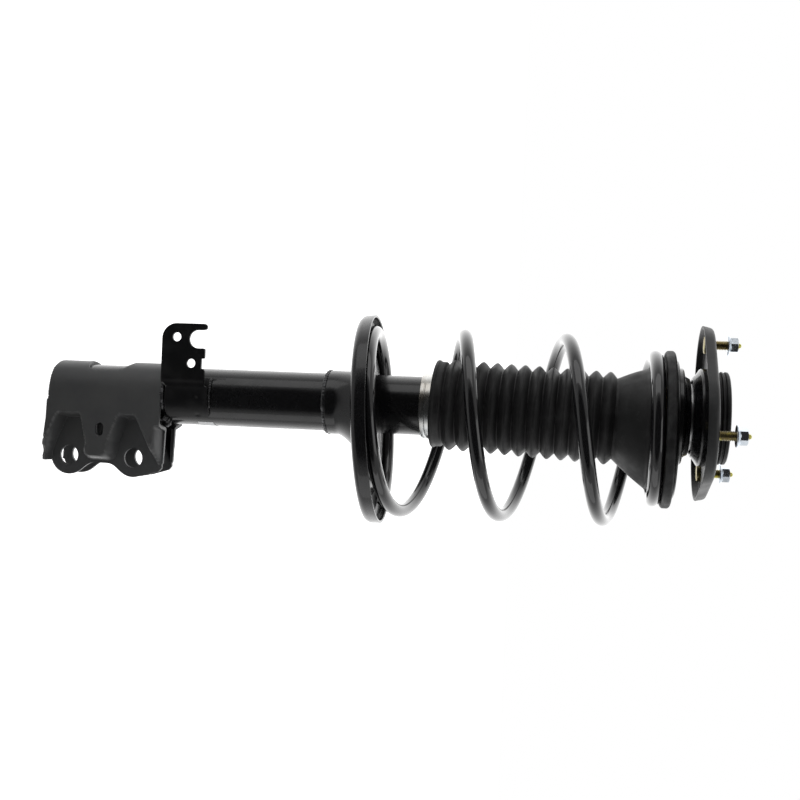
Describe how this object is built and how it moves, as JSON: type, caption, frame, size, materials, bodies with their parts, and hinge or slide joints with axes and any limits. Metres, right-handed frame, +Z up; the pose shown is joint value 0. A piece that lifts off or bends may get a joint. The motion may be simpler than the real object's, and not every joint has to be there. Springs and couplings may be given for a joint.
{
  "type": "strut assembly",
  "caption": "Complete front coil-over strut: damper tube with a two-bolt knuckle bracket, coil spring, bellows boot and a three-stud top mount.",
  "frame": {"origin": "on the strut's axis, at the top mount's face that meets the strut tower", "axes": "+Z up along the strut's axis, out of the top mount; +X the way the knuckle bracket's ears reach; the knuckle bolts run along Y"},
  "size_m": [0.1818, 0.1818, 0.6086],
  "materials": {
    "mount_paint": "satin black paint on stamped steel",
    "yellow_zinc": "yellow chromate over zinc",
    "blue_zinc": "bright blue-white zinc plating",
    "mount_rubber": "moulded black rubber",
    "insulator_rubber": "dusty moulded black rubber",
    "boot_rubber": "matt black bellows rubber with a dusty bloom",
    "gloss_paint": "gloss black paint",
    "bracket_paint": "semi-gloss dark grey-black paint",
    "spring_paint": "thick gloss black powder coat",
    "plain_steel": "machined steel",
    "chromed_rod": "ground and hard-chromed steel",
    "bump_foam": "pale microcellular foam",
    "piston_band": "filled slide band"
  },
  "bodies": {
    "top_mount": {"mount_plate": "mount_paint", "mount_studs": "yellow_zinc", "stud_nuts": "blue_zinc", "mount_cap_ring": "mount_rubber", "mount_rubber": "mount_rubber", "center_sleeve": "plain_steel", "lower_cup": "gloss_paint", "bearing_upper_race": "plain_steel"},
    "rod": {"piston_rod": "chromed_rod", "rod_nut": "blue_zinc", "rod_washer": "blue_zinc", "bearing_lower_race": "plain_steel", "bearing_balls": "plain_steel", "upper_spring_seat": "mount_paint", "upper_insulator": "insulator_rubber", "coil_spring": "spring_paint", "dust_boot": "boot_rubber", "bump_stop": "bump_foam", "rebound_stop": "plain_steel", "piston": "plain_steel", "piston_band": "piston_band", "piston_nut": "plain_steel"},
    "damper_tube": {"strut_tube": "gloss_paint", "base_cap": "gloss_paint", "tube_cap": "blue_zinc", "rod_guide": "plain_steel", "rod_seal": "mount_rubber", "pressure_cylinder": "plain_steel", "base_valve": "plain_steel", "knuckle_bracket": "bracket_paint", "hose_bracket": "bracket_paint", "lower_spring_seat": "gloss_paint", "seat_collar": "gloss_paint", "lower_insulator": "insulator_rubber"}
  },
  "joints": [
    {"name": "steering_swivel", "type": "hinge", "parent": "top_mount", "child": "rod", "pos_m": [0, 0, 0], "axis": [0, 0, 1], "continuous": true},
    {"name": "strut_stroke", "type": "slide", "parent": "rod", "child": "damper_tube", "axis": [0, 0, 1], "range_m": [0, 0.12], "stiffness_N_per_m": 28000, "springref_m": -0.07, "deforming": ["coil_spring", "dust_boot"]}
  ]
}
